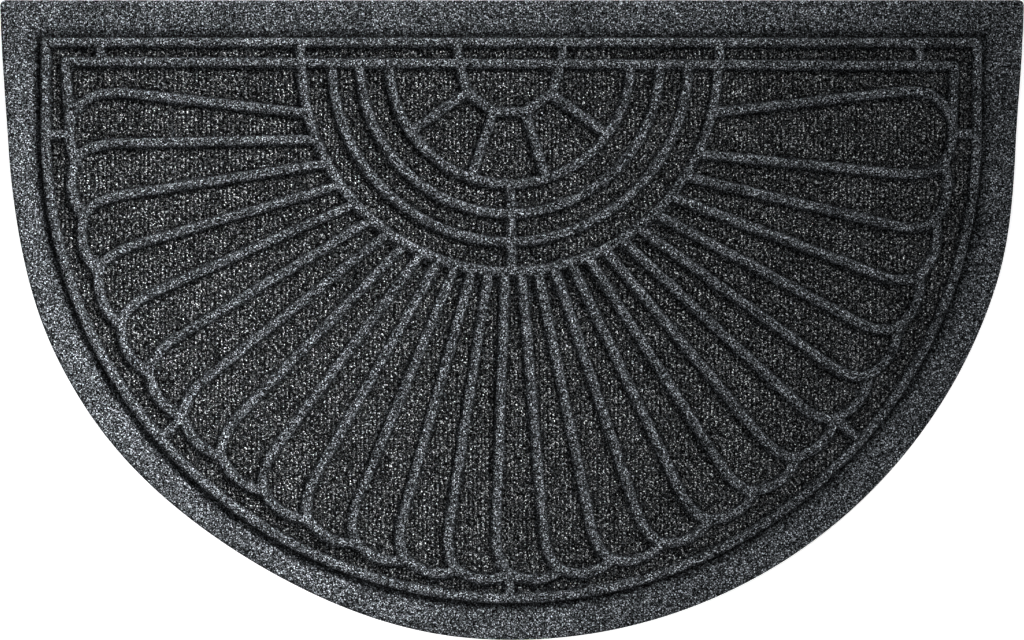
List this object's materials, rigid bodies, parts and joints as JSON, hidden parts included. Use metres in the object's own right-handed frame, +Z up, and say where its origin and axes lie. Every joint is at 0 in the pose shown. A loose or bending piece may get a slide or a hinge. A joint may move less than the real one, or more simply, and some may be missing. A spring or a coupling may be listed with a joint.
{
  "type": "half moon doormat",
  "caption": "Flat half round doormat of charcoal needled textile, with raised welts in a sunburst fan, a small rosette and a plain border.",
  "frame": {"origin": "middle of the mat's box, on its flat underside", "axes": "+X along the straight edge, +Y from the bow towards the straight edge, +Z up through the thickness"},
  "size_m": [0.9836, 0.615, 0.009],
  "materials": {
    "charcoal_textile": "heathered charcoal needled fibre, ribbed in the field and pressed smooth on the welts and border"
  },
  "bodies": {
    "root": {"mat": "charcoal_textile"}
  },
  "joints": []
}
